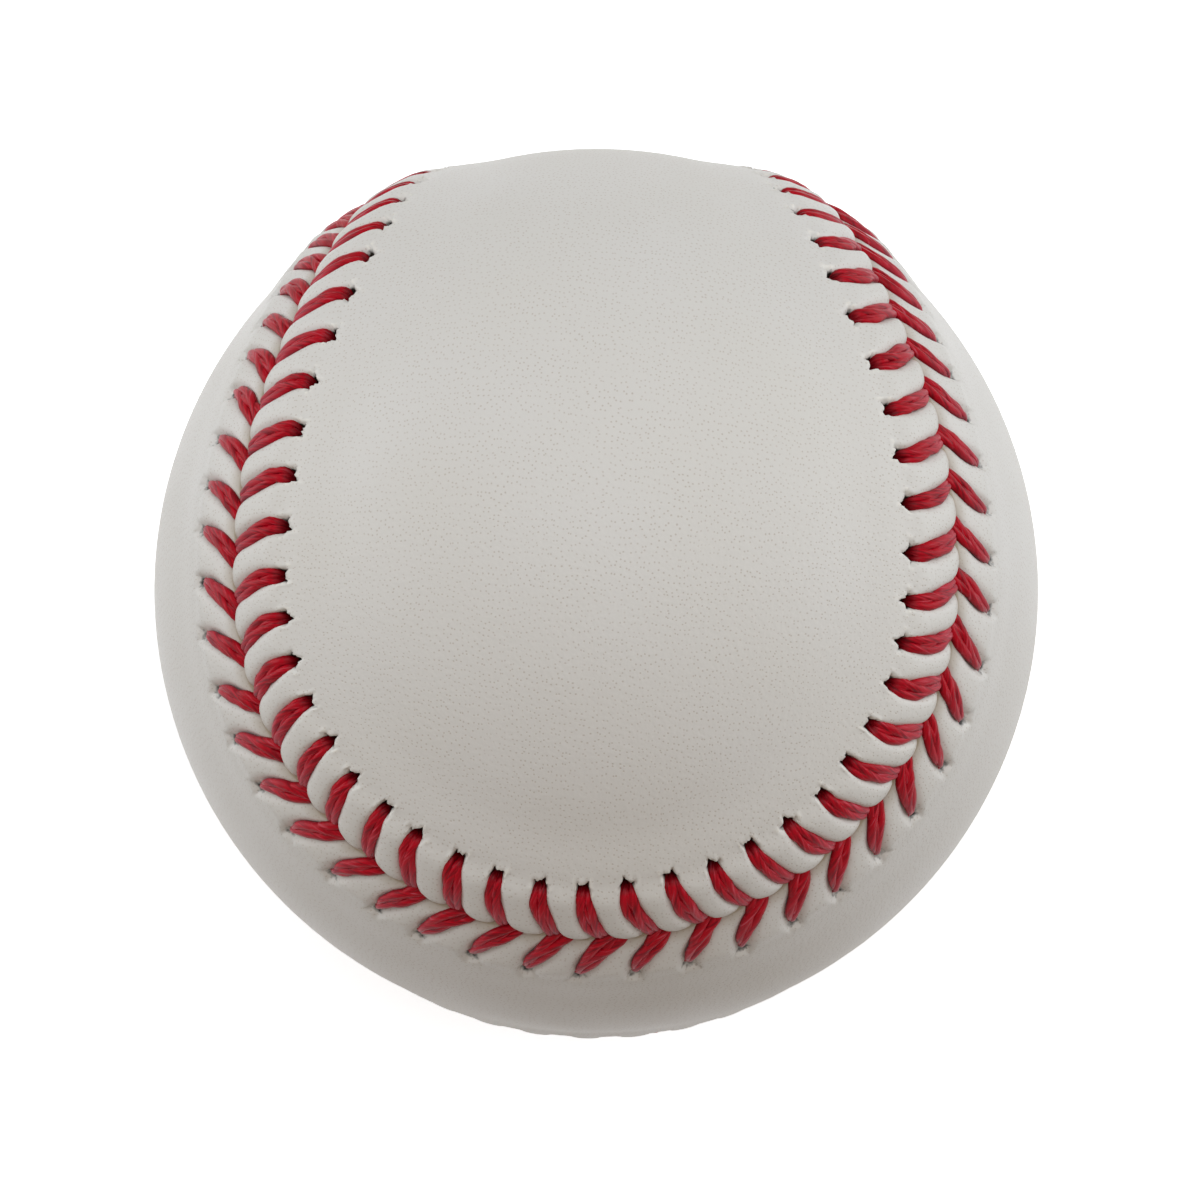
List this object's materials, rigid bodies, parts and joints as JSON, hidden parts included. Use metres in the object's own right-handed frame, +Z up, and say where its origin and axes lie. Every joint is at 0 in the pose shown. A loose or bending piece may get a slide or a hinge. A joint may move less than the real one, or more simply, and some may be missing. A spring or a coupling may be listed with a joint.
{
  "type": "baseball",
  "caption": "Leather-covered ball for throwing and batting: figure-eight cover panels laced with red thread over yarn windings and a cushioned cork centre.",
  "frame": {"origin": "centre of the ball", "axes": "+Z up through a lobe of cover panel A, +Y through the middle of panel A's waist, +X through a lobe of cover panel B"},
  "size_m": [0.0742, 0.0742, 0.0742],
  "materials": {
    "cork": "moulded granules of cork and rubber",
    "black_rubber": "moulded, matt",
    "red_rubber": "moulded, matt",
    "grey_wool": "wound wool yarn",
    "white_wool": "wound wool yarn",
    "white_yarn": "fine wound finishing yarn",
    "cover_leather": "alum-tanned, fine grain, satin",
    "red_thread": "waxed twisted thread"
  },
  "bodies": {
    "root": {"cork_core": "cork", "rubber_cup_lower": "black_rubber", "rubber_cup_upper": "black_rubber", "rubber_washer": "red_rubber", "rubber_jacket": "red_rubber", "first_winding": "grey_wool", "second_winding": "white_wool", "third_winding": "grey_wool", "fourth_winding": "white_yarn", "cover_panel_a": "cover_leather", "cover_panel_b": "cover_leather", "lacing_thread_a": "red_thread", "lacing_thread_b": "red_thread"}
  },
  "joints": []
}
